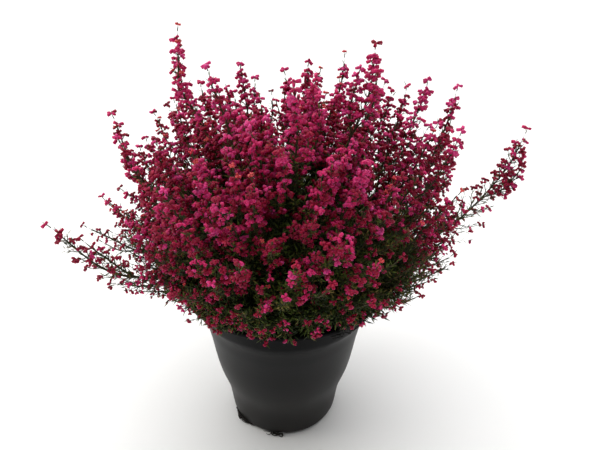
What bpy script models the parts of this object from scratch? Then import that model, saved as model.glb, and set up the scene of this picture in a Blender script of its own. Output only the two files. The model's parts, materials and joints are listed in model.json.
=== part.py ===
# Potted bell heather in full flower.
# A dark plastic nursery pot stands on its flat underside and holds compost, a
# short woody stem and a crown of curved boughs. Each bough carries one mass of
# foliage: forked twigs with clusters of bell flowers set round them.
# The row's frame has its origin at the centre of the pot's underside, +Z up.

import math
import random

import bmesh
import bpy
from mathutils import Vector

MM = 0.001
GAP = 0.3
GOLDEN_TURN = math.radians(137.508)
SAME_WAY = 1e-6

# Pot, in millimetres
POT_HEIGHT = 124.0
POT_SIDES = 32
FOOT_RADIUS = 36.7
FOOT_STEPS = 3
BODY_STATIONS = (
    (4.5, 41.3),
    (26.0, 44.2),
    (47.0, 50.0),
    (83.5, 55.8),
    (97.0, 58.8),
    (104.0, 63.0),
)
RIM_RADIUS = 71.8
LIP_WIDTH = 1.2
LIP_HEIGHT = 3.0
LIP_CHAMFER = 0.8
WALL = 1.6
FLOOR_THICKNESS = 2.2
DRAIN_HOLES = 6
DRAIN_RADIUS = 3.5
DRAIN_SIDES = 10
DRAIN_PITCH_RADIUS = 38.0
DRAIN_ANGLE = math.radians(45.0)
DRAIN_INWARD = 7.0
DRAIN_OUTWARD = 9.0

# Compost
COMPOST_TOP = 111.0
COMPOST_MOUND = 1.6
COMPOST_MOUND_SHARE = 0.62
COMPOST_FLAT_RADIUS = 16.0

# Short woody stem with a burl that the boughs spring from
HUB_HEIGHT = 127.0
STEM_SIDES = 12
STEM_FOOT_RADIUS = 12.5
STEM_FLARE_RADIUS = 9.0
STEM_FLARE_HEIGHT = 1.8
STEM_NECK_RADIUS = 7.2
STEM_NECK_HEIGHT = 116.0
BURL_RADIUS = 10.0
BURL_RINGS = (135.0, 110.0, 88.0, 66.0, 44.0, 22.0)
STEM_LEAN = Vector((1.6, -1.0, 0.0))

# Crown: the sweep turns every limb up, gently at the burl and more towards its tip
SWEEP = math.radians(30.0)
SWEEP_SPAN = math.radians(100.0)
SWEEP_REACH = 165.0
CROWN_LEANS = (0.0, 25.0, 42.0, 58.0, 72.0, 90.0)
CROWN_REACHES = (134.0, 138.0, 142.0, 122.0, 98.0, 86.0)
FRONT_SHORTER = 0.15
SIDES_LONGER = 0.05
SHORTEST_SPIKE = 0.86
LATTICE_SPIKES = 114
LATTICE_SEED = 4
LATTICE_TURN = 1.54
LATTICE_JITTER = 0.06
LEADER_ROOM = math.radians(6.5)
LOWEST_LEAN = math.radians(81.0)

# Boughs and twigs, in millimetres unless named as a share of the reach
BOUGH_SIDES = 6
BOUGH_RINGS = 5
BOUGH_ROOT_RADIUS = 1.2
BOUGH_TIP_RADIUS = 1.05
BOUGH_SHARE = 0.34
TWIG_SIDES = 3
LEADER_RINGS = 6
TWIG_RINGS = 4
LEADER_ROOT_RADIUS = 1.05
TWIG_ROOT_RADIUS = 0.95
TWIG_TIP_RADIUS = 0.5
FORK_SHARES = (0.38, 0.5)
FORK_SUNK = 2.5
TIP_BARE = 6.0
SLANT_BACK = 0.08
UNBEND_ROUNDS = 30
FORK_SPREAD = 0.6

# Flower clusters: eight faced, fewer and larger than life
BLOOM_LENGTH = 16.0
BLOOM_WIDTH = 11.5
BLOOM_SUNK = 0.3
BLOOM_STEP = 16.8
BLOOM_STEP_CHANGE = 0.1
BLOOM_BARE_SHARE = 0.45
BLOOM_FROM_TIP = 3.0
BLOOM_FROM_FORK = 14.0
BLOOM_LOOK_BACK = 2.0
BLOOM_TILTS = (0.85, 0.6, 0.35)
BLOOM_TURNS = (0.0, 1.0, -1.0, 2.0, 3.0)
CELL_ROOM = 0.6
TIP_ROOM = 6.0
POT_ROOM = 1.0

# Each mass: name, bearing and lean of its leader in degrees, its reach in mm.
# The leaders are the tips that stand out of the crown's outline.
MASSES = (
    ("crown_top", 58, 11, 133),
    ("tall_left", 175, 22, 163),
    ("upper_front_left", -142, 17, 145),
    ("upper_front", -82, 19, 144),
    ("upper_right", -10, 18, 154),
    ("upper_back_right", 44, 18, 143),
    ("upper_back_left", 116, 21, 127),
    ("middle_left", -170, 37, 145),
    ("middle_front_left", -136, 35, 126),
    ("middle_front", -92, 38, 116),
    ("middle_front_right", -52, 37, 124),
    ("middle_right", 4, 38, 158),
    ("middle_back_right", 46, 42, 144),
    ("middle_back", 92, 43, 132),
    ("middle_back_left", 136, 45, 146),
    ("long_right", 0, 59, 175),
    ("low_right", -36, 55, 121),
    ("low_front_right", -66, 60, 92),
    ("low_front", -99, 64, 92),
    ("low_front_left", -129, 62, 90),
    ("long_left", -148, 60, 152),
    ("low_left", -176, 70, 134),
    ("low_back_left", 142, 66, 126),
    ("low_back", 92, 64, 120),
    ("low_back_right", 42, 66, 124),
)


# Scene and materials

def clear_scene():
    for item in list(bpy.data.objects):
        bpy.data.objects.remove(item, do_unlink=True)


def linear(channel):
    if channel <= 0.04045:
        return channel / 12.92
    return ((channel + 0.055) / 1.055) ** 2.4


def make_material(name, colour, roughness):
    material = bpy.data.materials.new(name)
    material.use_nodes = True
    shader = material.node_tree.nodes["Principled BSDF"]
    rgb = [linear(int(colour[i:i + 2], 16) / 255.0) for i in (0, 2, 4)]
    shader.inputs["Base Color"].default_value = (*rgb, 1.0)
    shader.inputs["Roughness"].default_value = roughness
    shader.inputs["Metallic"].default_value = 0.0
    return material


def pot_material():
    return make_material("moulded_black_plastic", "2E2E30", 0.42)


def compost_material():
    return make_material("peat_compost", "2A2019", 0.95)


def bark_material():
    return make_material("grey_brown_bark", "6A5745", 0.85)


def blossom_material():
    return make_material("crimson_bell_blossom", "8E2647", 0.6)


# Meshes

def new_object(name, vertices, faces, material):
    mesh = bpy.data.meshes.new(name)
    mesh.from_pydata([Vector(v) * MM for v in vertices], [], faces)
    mesh.materials.append(material)
    mesh.validate()
    item = bpy.data.objects.new(name, mesh)
    bpy.context.scene.collection.objects.link(item)
    return item


def face_outward(item):
    shape = bmesh.new()
    shape.from_mesh(item.data)
    bmesh.ops.recalc_face_normals(shape, faces=shape.faces)
    shape.to_mesh(item.data)
    shape.free()


def shade_round(item, degrees):
    item.data.shade_smooth()
    item.data.set_sharp_from_angle(angle=math.radians(degrees))


def turned(name, profile, sides, material, centre=None):
    # The profile runs from one point on the axis to another, as (radius, height)
    vertices = []
    rings = []
    for radius, height in profile:
        shift = centre(height) if centre else Vector((0.0, 0.0, 0.0))
        if radius == 0.0:
            rings.append([len(vertices)])
            vertices.append(shift + Vector((0.0, 0.0, height)))
            continue
        rings.append(list(range(len(vertices), len(vertices) + sides)))
        for k in range(sides):
            angle = 2.0 * math.pi * k / sides
            vertices.append(shift + Vector((radius * math.cos(angle), radius * math.sin(angle), height)))
    faces = []
    for low, high in zip(rings, rings[1:]):
        faces += band(low, high, sides)
    item = new_object(name, vertices, faces, material)
    face_outward(item)
    return item


def band(low, high, sides):
    if len(low) == 1:
        return [(low[0], high[k], high[(k + 1) % sides]) for k in range(sides)]
    if len(high) == 1:
        return [(low[k], low[(k + 1) % sides], high[0]) for k in range(sides)]
    return [(low[k], low[(k + 1) % sides], high[(k + 1) % sides], high[k]) for k in range(sides)]


def limb(name, points, radii, sides, material):
    # A tapering limb: a ring round each point, flat caps at both ends
    vertices = []
    side = None
    for n, point in enumerate(points):
        ahead = points[min(n + 1, len(points) - 1)]
        behind = points[max(n - 1, 0)]
        along = (ahead - behind).normalized()
        side = along.orthogonal() if side is None else side - along * side.dot(along)
        side.normalize()
        other = along.cross(side)
        for k in range(sides):
            angle = 2.0 * math.pi * k / sides
            vertices.append(point + radii[n] * (math.cos(angle) * side + math.sin(angle) * other))
    faces = [tuple(reversed(range(sides)))]
    for n in range(len(points) - 1):
        low = list(range(n * sides, (n + 1) * sides))
        faces += band(low, [v + sides for v in low], sides)
    faces.append(tuple(range((len(points) - 1) * sides, len(points) * sides)))
    return new_object(name, vertices, faces, material)


# Pot and compost

def foot_rounding():
    # Quarter round between the flat underside and the first body station
    first_height, first_radius = BODY_STATIONS[0]
    found = []
    for k in range(FOOT_STEPS):
        angle = 0.5 * math.pi * k / FOOT_STEPS
        found.append((
            FOOT_RADIUS + (first_radius - FOOT_RADIUS) * math.sin(angle),
            first_height * (1.0 - math.cos(angle)),
        ))
    return found


def outer_profile():
    return foot_rounding() + [(radius, height) for height, radius in BODY_STATIONS]


def inset_profile(inset):
    # The body's stations moved in from the outer face by the wall and a clearance
    lowest = FLOOR_THICKNESS + inset - WALL
    found = [(FOOT_RADIUS, lowest)]
    found += [(radius - inset, height) for height, radius in BODY_STATIONS]
    return found


def collar_radius(height):
    # Outer radius of the flared collar between the shoulder and the rim
    shoulder_height, shoulder_radius = BODY_STATIONS[-1]
    share = (height - shoulder_height) / (POT_HEIGHT - shoulder_height)
    return shoulder_radius + (RIM_RADIUS - shoulder_radius) * share


def build_pot(material):
    lip_foot = POT_HEIGHT - LIP_HEIGHT
    profile = [(0.0, 0.0)] + outer_profile()
    profile += [
        (collar_radius(lip_foot), lip_foot),
        (RIM_RADIUS + LIP_WIDTH, lip_foot + LIP_CHAMFER),
        (RIM_RADIUS + LIP_WIDTH, POT_HEIGHT - LIP_CHAMFER),
        (RIM_RADIUS + LIP_WIDTH - LIP_CHAMFER, POT_HEIGHT),
        (RIM_RADIUS - WALL, POT_HEIGHT),
    ]
    profile += reversed(inset_profile(WALL))
    profile.append((0.0, FLOOR_THICKNESS))
    pot = turned("pot", profile, POT_SIDES, material)
    cut_drain_holes(pot)
    shade_round(pot, 40)
    return pot


def cut_drain_holes(pot):
    # Round holes through the foot's rounded edge, slanting down and out
    cutters = bpy.data.collections.new("drain_cutters")
    bpy.context.scene.collection.children.link(cutters)
    for n in range(DRAIN_HOLES):
        bearing = 2.0 * math.pi * (n + 0.5) / DRAIN_HOLES
        out = Vector((math.cos(bearing), math.sin(bearing), 0.0))
        slope = (out * math.sin(DRAIN_ANGLE) - Vector((0.0, 0.0, math.cos(DRAIN_ANGLE)))).normalized()
        middle = out * DRAIN_PITCH_RADIUS + Vector((0.0, 0.0, FLOOR_THICKNESS))
        ends = [middle - slope * DRAIN_INWARD, middle + slope * DRAIN_OUTWARD]
        cutter = limb("drain_cutter", ends, [DRAIN_RADIUS] * 2, DRAIN_SIDES, pot.data.materials[0])
        bpy.context.scene.collection.objects.unlink(cutter)
        cutters.objects.link(cutter)
    join_or_cut(pot, cutters, "DIFFERENCE", "EXACT")


def build_compost(material):
    inset = WALL + GAP
    wall_radius = collar_radius(COMPOST_TOP) - inset
    profile = [(0.0, FLOOR_THICKNESS + GAP)] + inset_profile(inset)
    profile += [
        (wall_radius, COMPOST_TOP),
        (COMPOST_MOUND_SHARE * wall_radius, COMPOST_TOP + COMPOST_MOUND),
        (COMPOST_FLAT_RADIUS, COMPOST_TOP),
        (0.0, COMPOST_TOP),
    ]
    compost = turned("compost", profile, POT_SIDES, material)
    shade_round(compost, 40)
    return compost


# Stem

def stem_centre(height):
    share = (HUB_HEIGHT - height) / (HUB_HEIGHT - COMPOST_TOP)
    return -STEM_LEAN * max(0.0, share)


def build_stem(material):
    foot = COMPOST_TOP + GAP
    profile = [
        (0.0, foot),
        (STEM_FOOT_RADIUS, foot),
        (STEM_FLARE_RADIUS, foot + STEM_FLARE_HEIGHT),
        (STEM_NECK_RADIUS, STEM_NECK_HEIGHT),
    ]
    for degrees in BURL_RINGS:
        angle = math.radians(degrees)
        profile.append((BURL_RADIUS * math.sin(angle), HUB_HEIGHT + BURL_RADIUS * math.cos(angle)))
    profile.append((0.0, HUB_HEIGHT + BURL_RADIUS))
    stem = turned("stem", profile, STEM_SIDES, material, stem_centre)
    shade_round(stem, 60)
    return stem


# Directions in the crown

def heading(bearing, lean):
    return Vector((
        math.cos(bearing) * math.sin(lean),
        math.sin(bearing) * math.sin(lean),
        math.cos(lean),
    ))


def bearing_and_lean(direction):
    return math.atan2(direction.y, direction.x), math.acos(max(-1.0, min(1.0, direction.z)))


def sweep(lean):
    return SWEEP * math.sin(math.pi * lean / SWEEP_SPAN) ** 2


def sweep_left(reach):
    # The share of the sweep that is still to come at this reach
    return 1.0 - (reach / SWEEP_REACH) ** 2


def place(direction, reach):
    # A point on the curved path that ends in this direction from the hub
    bearing, lean = bearing_and_lean(direction)
    lean += sweep(lean) * sweep_left(reach)
    return Vector((0.0, 0.0, HUB_HEIGHT)) + reach * heading(bearing, lean)


def unbend(point):
    # The direction whose path runs through a point, and the point's reach
    offset = point - Vector((0.0, 0.0, HUB_HEIGHT))
    reach = offset.length
    bearing, bent = bearing_and_lean(offset / reach)
    lean = bent
    for _ in range(UNBEND_ROUNDS):
        lean = bent - sweep(lean) * sweep_left(reach)
    return heading(bearing, lean), reach


def blend(start, end, share):
    angle = start.angle(end, 0.0)
    if angle < SAME_WAY:
        return start.copy()
    mixed = math.sin((1.0 - share) * angle) * start + math.sin(share * angle) * end
    return mixed / math.sin(angle)


def crown_reach(bearing, lean):
    # How far the crown reaches in a direction, between its named leaders
    degrees = math.degrees(lean)
    reach = CROWN_REACHES[-1]
    for k in range(len(CROWN_LEANS) - 1):
        low, high = CROWN_LEANS[k], CROWN_LEANS[k + 1]
        if low <= degrees <= high:
            share = (degrees - low) / (high - low)
            reach = CROWN_REACHES[k] + share * (CROWN_REACHES[k + 1] - CROWN_REACHES[k])
            break
    front = max(0.0, -math.sin(bearing))
    side = abs(math.cos(bearing))
    return reach * (1.0 + (SIDES_LONGER * side - FRONT_SHORTER * front) * math.sin(lean))


# Each mass keeps to the space nearer to its own leader than to any other

def mass_axes():
    return [heading(math.radians(mass[1]), math.radians(mass[2])) for mass in MASSES]


def room(point, home, axes):
    # Distance from a point to the nearest side of its mass's space
    direction, reach = unbend(point)
    nearest = math.inf
    for other, axis in enumerate(axes):
        if other == home:
            continue
        across = axes[home] - axis
        nearest = min(nearest, reach * direction.dot(across) / across.length)
    return nearest


def above_pot(point, spare):
    # Foliage stays over the compost, and over the rim from near the pot's wall outwards
    if math.hypot(point.x, point.y) > BODY_STATIONS[-1][1] - 6.0:
        return point.z >= POT_HEIGHT + spare
    return point.z >= COMPOST_TOP + COMPOST_MOUND + spare


def lattice_spikes(axes):
    # Spikes spread evenly over the crown, each given to its nearest leader
    found = [[] for _ in MASSES]
    rng = random.Random(LATTICE_SEED)
    for n in range(LATTICE_SPIKES):
        lean = min(math.acos(1.0 - (n + 0.5) / LATTICE_SPIKES), LOWEST_LEAN)
        bearing = LATTICE_TURN + n * GOLDEN_TURN + rng.uniform(-LATTICE_JITTER, LATTICE_JITTER)
        aim = heading(bearing, lean)
        near = [aim.dot(axis) for axis in axes]
        home = near.index(max(near))
        if near[home] > math.cos(LEADER_ROOM):
            continue
        found[home].append((aim, crown_reach(bearing, lean) * rng.uniform(SHORTEST_SPIKE, 1.0)))
    return found


def spikes_of(home, axes, lattice):
    # The leader first, then each side spike with the place where it forks off
    rng = random.Random(100 + home)
    axis = axes[home]
    first = bough_end(axis) + GAP
    found = [(axis, first, MASSES[home][3])]
    for aim, tip in lattice[home]:
        while room(place(aim, tip), home, axes) < TIP_ROOM:
            aim = blend(aim, axis, SLANT_BACK)
        fork = max(tip * rng.uniform(*FORK_SHARES), first + FORK_SUNK + 1.0)
        found.append((aim, fork, tip))
    return found


def bough_end(axis):
    # Every bough hands over to its mass at the same share of the crown's reach
    return BOUGH_SHARE * crown_reach(*bearing_and_lean(axis))


def spike_point(axis, spike, reach):
    aim, fork, tip = spike
    share = (reach - fork) / ((tip - fork) * FORK_SPREAD)
    share = math.sin(0.5 * math.pi * max(0.0, min(1.0, share)))
    return place(blend(axis, aim, share), reach)


# Boughs and foliage

def build_bough(home, axes, material):
    name = MASSES[home][0]
    first = BURL_RADIUS + GAP
    last = bough_end(axes[home])
    points = []
    radii = []
    for n in range(BOUGH_RINGS):
        share = n / (BOUGH_RINGS - 1)
        points.append(place(axes[home], first + share * (last - first)))
        radii.append(BOUGH_ROOT_RADIUS + share * (BOUGH_TIP_RADIUS - BOUGH_ROOT_RADIUS))
    bough = limb("bough_" + name, points, radii, BOUGH_SIDES, material)
    shade_round(bough, 70)
    return bough


def twig_reaches(spike, leader):
    # The reach of each ring of a twig, from its sunk root to its tip
    _, fork, tip = spike
    first = fork if leader else fork - FORK_SUNK
    rings = LEADER_RINGS if leader else TWIG_RINGS
    return [first + n / (rings - 1) * (tip - TIP_BARE - first) for n in range(rings)]


def twig_point(axis, spike, leader, reach):
    # A point on the twig's straight runs, so that a cluster's root lies inside it
    reaches = twig_reaches(spike, leader)
    for low, high in zip(reaches, reaches[1:]):
        if reach <= high:
            start, end = spike_point(axis, spike, low), spike_point(axis, spike, high)
            return start.lerp(end, (reach - low) / (high - low))
    return spike_point(axis, spike, reaches[-1])


def build_twig(axis, spike, leader, material):
    reaches = twig_reaches(spike, leader)
    root = LEADER_ROOT_RADIUS if leader else TWIG_ROOT_RADIUS
    steps = len(reaches) - 1
    points = [spike_point(axis, spike, reach) for reach in reaches]
    radii = [root + n / steps * (TWIG_TIP_RADIUS - root) for n in range(steps + 1)]
    return limb("twig", points, radii, TWIG_SIDES, material)


def bloom_corners(base, way):
    side = way.cross(Vector((0.31, 0.77, 0.55))).normalized()
    other = way.cross(side)
    middle = base + way * 0.5 * BLOOM_LENGTH
    half = 0.5 * BLOOM_WIDTH
    return [
        base,
        middle + half * side,
        middle + half * other,
        middle - half * side,
        middle - half * other,
        base + way * BLOOM_LENGTH,
    ]


def build_bloom(corners, material):
    faces = []
    for k in range(4):
        near, far = 1 + k, 1 + (k + 1) % 4
        faces.append((0, far, near))
        faces.append((near, far, 5))
    return new_object("bloom", corners, faces, material)


def fitting_bloom(foot, along, turn, tilts, home, axes):
    # The first way round the twig that keeps to the mass's own space
    side = along.cross(Vector((0.3, 0.1, 1.0))).normalized()
    other = along.cross(side)
    for tilt in tilts:
        for extra in BLOOM_TURNS:
            out = math.cos(turn + extra) * side + math.sin(turn + extra) * other
            way = math.cos(tilt) * along + math.sin(tilt) * out
            corners = bloom_corners(foot - way * BLOOM_SUNK, way)
            if all(above_pot(corner, POT_ROOM) for corner in corners):
                if min(room(corner, home, axes) for corner in corners) > CELL_ROOM:
                    return corners
    return None


def build_blooms(home, axes, spike, leader, rng, material):
    _, fork, tip = spike
    found = []
    reach = tip - TIP_BARE - BLOOM_FROM_TIP
    lowest = max(fork + BLOOM_FROM_FORK, tip * BLOOM_BARE_SHARE)
    count = 0
    while reach > lowest:
        foot = twig_point(axes[home], spike, leader, reach)
        behind = twig_point(axes[home], spike, leader, reach - BLOOM_LOOK_BACK)
        along = (foot - behind).normalized()
        tilts = (0.0,) if count == 0 else BLOOM_TILTS
        corners = fitting_bloom(foot, along, count * GOLDEN_TURN + home, tilts, home, axes)
        if corners:
            found.append(build_bloom(corners, material))
        count += 1
        reach -= BLOOM_STEP * (1.0 + rng.uniform(-BLOOM_STEP_CHANGE, BLOOM_STEP_CHANGE))
    return found


def join_or_cut(item, others, operation, solver):
    # One Boolean with a whole collection, applied, and the collection removed
    modifier = item.modifiers.new("boolean", "BOOLEAN")
    modifier.operation = operation
    modifier.operand_type = "COLLECTION"
    modifier.collection = others
    modifier.solver = solver
    bpy.context.view_layer.update()
    view = bpy.context.evaluated_depsgraph_get()
    mesh = bpy.data.meshes.new_from_object(item.evaluated_get(view))
    item.modifiers.clear()
    item.data = mesh
    for other in list(others.objects):
        bpy.data.objects.remove(other, do_unlink=True)
    bpy.data.collections.remove(others)


def islands(shape):
    found = []
    waiting = set(shape.verts)
    while waiting:
        group = set()
        edge = [waiting.pop()]
        while edge:
            vertex = edge.pop()
            group.add(vertex)
            for link in vertex.link_edges:
                other = link.other_vert(vertex)
                if other in waiting:
                    waiting.discard(other)
                    edge.append(other)
        found.append(group)
    return found


def keep_one_body(item):
    # Drop the loose scraps and sealed hollows that the union may leave
    shape = bmesh.new()
    shape.from_mesh(item.data)
    bmesh.ops.triangulate(shape, faces=shape.faces)
    groups = sorted(islands(shape), key=len)
    for group in groups[:-1]:
        bmesh.ops.delete(shape, geom=list(group), context="VERTS")
    shape.to_mesh(item.data)
    shape.free()
    return len(groups) - 1


def build_mass(home, axes, lattice, material):
    name = MASSES[home][0]
    rng = random.Random(home)
    spikes = spikes_of(home, axes, lattice)
    parts = bpy.data.collections.new("parts_" + name)
    bpy.context.scene.collection.children.link(parts)
    mass = build_twig(axes[home], spikes[0], True, material)
    mass.name = "foliage_" + name
    pieces = [build_twig(axes[home], spike, False, material) for spike in spikes[1:]]
    for number, spike in enumerate(spikes):
        pieces += build_blooms(home, axes, spike, number == 0, rng, material)
    for piece in pieces:
        bpy.context.scene.collection.objects.unlink(piece)
        parts.objects.link(piece)
    join_or_cut(mass, parts, "UNION", "MANIFOLD")
    dropped = keep_one_body(mass)
    print(mass.name, "pieces", len(pieces), "faces", len(mass.data.polygons), "dropped", dropped)
    return mass


def main():
    clear_scene()
    bark = bark_material()
    blossom = blossom_material()
    build_pot(pot_material())
    build_compost(compost_material())
    build_stem(bark)
    axes = mass_axes()
    lattice = lattice_spikes(axes)
    for home in range(len(MASSES)):
        build_bough(home, axes, bark)
    for home in range(len(MASSES)):
        build_mass(home, axes, lattice, blossom)


main()
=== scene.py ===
# %% [markdown]
# # A potted bell heather in full flower
#
# The real plant is a small shrub in a dark plastic nursery pot. A burl at the
# foot of a short stem sends out curved boughs, each bough forks into upright
# flowering spikes, and every spike carries short side shoots that end in up to
# six nodding bell flowers above fine needle leaves.
#
# The lesson builds it the same way round: pot, compost and wood first, modelled
# by hand with operators, then one rule that grows spikes, shoots, needles and
# bells, and writes each kind as joined meshes.

# %% Tools and the fixed frame
import json
import math
import random

import bmesh
import bpy
import numpy as np
from mathutils import Matrix, Vector, noise

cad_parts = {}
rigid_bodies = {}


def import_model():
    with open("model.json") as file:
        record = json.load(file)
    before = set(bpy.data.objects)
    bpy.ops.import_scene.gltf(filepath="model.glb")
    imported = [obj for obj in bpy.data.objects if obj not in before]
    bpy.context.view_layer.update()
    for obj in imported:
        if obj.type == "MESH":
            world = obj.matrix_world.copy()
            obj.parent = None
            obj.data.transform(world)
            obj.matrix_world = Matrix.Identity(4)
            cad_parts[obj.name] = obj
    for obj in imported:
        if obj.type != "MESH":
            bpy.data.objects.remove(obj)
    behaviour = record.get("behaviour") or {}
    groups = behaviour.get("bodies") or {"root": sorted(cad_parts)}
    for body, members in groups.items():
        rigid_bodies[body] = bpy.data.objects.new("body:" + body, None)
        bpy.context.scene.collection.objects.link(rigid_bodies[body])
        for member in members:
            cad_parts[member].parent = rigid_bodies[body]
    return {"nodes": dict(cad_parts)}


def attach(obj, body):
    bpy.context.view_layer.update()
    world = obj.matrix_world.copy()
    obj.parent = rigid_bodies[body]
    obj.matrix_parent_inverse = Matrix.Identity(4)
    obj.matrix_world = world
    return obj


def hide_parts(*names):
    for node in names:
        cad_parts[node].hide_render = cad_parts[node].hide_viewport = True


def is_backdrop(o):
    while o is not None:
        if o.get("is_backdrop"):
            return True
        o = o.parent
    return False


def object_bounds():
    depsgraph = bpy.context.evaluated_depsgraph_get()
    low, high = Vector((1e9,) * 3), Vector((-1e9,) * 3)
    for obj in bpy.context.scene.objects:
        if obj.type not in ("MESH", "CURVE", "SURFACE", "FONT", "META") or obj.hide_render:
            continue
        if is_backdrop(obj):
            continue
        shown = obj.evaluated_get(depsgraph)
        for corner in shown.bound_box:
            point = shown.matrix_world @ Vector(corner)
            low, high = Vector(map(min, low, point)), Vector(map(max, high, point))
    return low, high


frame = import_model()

CAD_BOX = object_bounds()
MM = 0.001
BOUGHS = sorted(name for name in frame["nodes"] if name.startswith("bough_"))
MASSES_IN_FRAME = sorted(name for name in frame["nodes"] if name.startswith("foliage_"))
print("nodes", len(frame["nodes"]), "boughs", len(BOUGHS), "masses", len(MASSES_IN_FRAME))

# %% [markdown]
# ## The camera
#
# The picture was taken close up and from above with a short lens, so the pot
# narrows quickly towards its foot. The distance, height and tilt here come from
# the pot's own ellipses. The camera is placed first, because every later step
# is judged through it.

# %% Camera
SHOULDER_RADIUS = 64.0
CAMERA_RIGHT, CAMERA_BACK, CAMERA_UP = (share * SHOULDER_RADIUS for share in (0.159, 4.388, 4.881))
CAMERA_PITCH = math.radians(28.82)
CAMERA_ROLL = math.radians(1.13)
SENSOR_WIDTH = 36.0
FOCAL_PIXELS = 480.0
IMAGE_WIDTH = 600.0


def place_camera():
    right = Vector((1.0, 0.0, 0.0))
    ahead = Vector((0.0, math.cos(CAMERA_PITCH), -math.sin(CAMERA_PITCH)))
    up = right.cross(ahead)
    across = right * math.cos(CAMERA_ROLL) + up * math.sin(CAMERA_ROLL)
    upward = up * math.cos(CAMERA_ROLL) - right * math.sin(CAMERA_ROLL)
    data = bpy.data.cameras.new("studio_camera")
    data.sensor_width = SENSOR_WIDTH
    data.lens = FOCAL_PIXELS / IMAGE_WIDTH * SENSOR_WIDTH
    data.clip_start = 0.01
    camera = bpy.data.objects.new("studio_camera", data)
    bpy.context.scene.collection.objects.link(camera)
    turn = Matrix((across, upward, -ahead)).transposed().to_4x4()
    spot = Vector((CAMERA_RIGHT, -CAMERA_BACK, CAMERA_UP)) * MM
    camera.matrix_world = Matrix.Translation(spot) @ turn
    bpy.context.scene.camera = camera
    return camera


camera = place_camera()
print("lens", round(camera.data.lens, 2), "mm")

# %% [markdown]
# ## Light and floor
#
# The plant stands in a white light box that glows overhead and behind and is
# open towards the viewer. So the floor is nearly white out to the horizon, the
# top of the crown is lit, and its lower front and the pot stay dark. A very
# wide, soft sun stands for the glowing roof, a world that fades towards the open
# front for the walls, and one soft, slightly warm lamp on the left gives the
# plastic its broad reflection. A single even world would be simpler, but it
# lights the shaded side as well and the crown loses its depth.

# %% Small helpers for colours and nodes
def linear(code):
    """An sRGB hex colour as linear red, green, blue and alpha."""
    out = []
    for start in (0, 2, 4):
        value = int(code[start:start + 2], 16) / 255.0
        out.append(value / 12.92 if value <= 0.04045 else ((value + 0.055) / 1.055) ** 2.4)
    return (*out, 1.0)


def node(tree, kind, links=None, **settings):
    """Add a node, set its fields and sockets, and link what comes in."""
    made = tree.nodes.new(kind)
    for name, value in settings.items():
        if hasattr(made, name):
            setattr(made, name, value)
        else:
            made.inputs[name.replace("_", " ")].default_value = value
    for name, source in (links or {}).items():
        tree.links.new(source, made.inputs[name])
    return made


def mapped(tree, value, span, to_span, target):
    """Map a value from one span to another and lead it into a socket."""
    made = node(
        tree, "ShaderNodeMapRange", {"Value": value},
        From_Min=span[0], From_Max=span[1], To_Min=to_span[0], To_Max=to_span[1],
    )
    tree.links.new(made.outputs["Result"], target)


def empty_material(name, roughness, ior=1.5):
    material = bpy.data.materials.new(name)
    material.use_nodes = True
    shader = material.node_tree.nodes["Principled BSDF"]
    shader.inputs["Roughness"].default_value = roughness
    shader.inputs["IOR"].default_value = ior
    return material, material.node_tree, shader

# %% Light box
WALL_GLOW = 0.4
OPEN_FRONT_GLOW = 0.07
GLOW_WAY = (0.0, 0.94, 0.34)
GLOW_SPAN = (-0.75, 0.1)
ROOF_GLOW = 3.2
ROOF_WIDTH = math.radians(95.0)
ROOF_SPOT = (-0.12, 0.38, 1.0)
SIDE_LAMP_WATTS = 2.0
SIDE_LAMP_SIZE = 0.5
SIDE_LAMP_SPOT = (-0.9, -0.1, 0.45)
WARM_WHITE = (1.0, 0.97, 0.88)
FLOOR_SIZE = 60.0
FLOOR_DROP = 0.3 * MM


def aim_lamp(data, spot, aim):
    lamp = bpy.data.objects.new(data.name, data)
    lamp.location = spot
    lamp.rotation_euler = (Vector(aim) - Vector(spot)).to_track_quat("-Z", "Y").to_euler()
    bpy.context.scene.collection.objects.link(lamp)


def light_box():
    world = bpy.data.worlds.new("light_box_walls")
    bpy.context.scene.world = world
    world.use_nodes = True
    tree = world.node_tree
    background = tree.nodes["Background"]
    background.inputs["Color"].default_value = linear("FFFFFF")
    way = node(tree, "ShaderNodeTexCoord")
    dot = {"operation": "DOT_PRODUCT"}
    part = node(tree, "ShaderNodeVectorMath", {0: way.outputs["Generated"]}, **dot)
    part.inputs[1].default_value = GLOW_WAY
    glows = (OPEN_FRONT_GLOW, WALL_GLOW)
    mapped(tree, part.outputs["Value"], GLOW_SPAN, glows, background.inputs["Strength"])
    roof = bpy.data.lights.new("glowing_roof", "SUN")
    roof.energy, roof.angle = ROOF_GLOW, ROOF_WIDTH
    aim_lamp(roof, ROOF_SPOT, (0.0, 0.0, 0.0))
    side = bpy.data.lights.new("side_lamp", "AREA")
    side.shape, side.size = "DISK", SIDE_LAMP_SIZE
    side.energy, side.color = SIDE_LAMP_WATTS, WARM_WHITE
    aim_lamp(side, SIDE_LAMP_SPOT, (0.0, 0.0, 0.1))


def pale_floor():
    bpy.ops.mesh.primitive_plane_add(size=FLOOR_SIZE, location=(0.0, 0.0, -FLOOR_DROP))
    floor = bpy.context.active_object
    floor.name = "pale_floor"
    material, _, shader = empty_material("matt_white_card", 0.9)
    shader.inputs["Base Color"].default_value = linear("F6F6F5")
    floor.data.materials.append(material)
    return floor


light_box()
floor = pale_floor()
floor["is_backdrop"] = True
bpy.context.scene.view_settings.view_transform = "Standard"
print("walls", WALL_GLOW, "roof", ROOF_GLOW)

# %% [markdown]
# ## The nursery pot
#
# A thin pot blown from black polypropylene: a rounded foot, a nearly straight
# lower wall with a faint waist, a widening body and, above a crisp shoulder, a
# flared collar with a small lip. It could be spun from a profile curve, but
# drawing one round face upwards, ring by ring, shows how each change of slope
# comes about, and the same face goes down again inside to make the wall.

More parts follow.
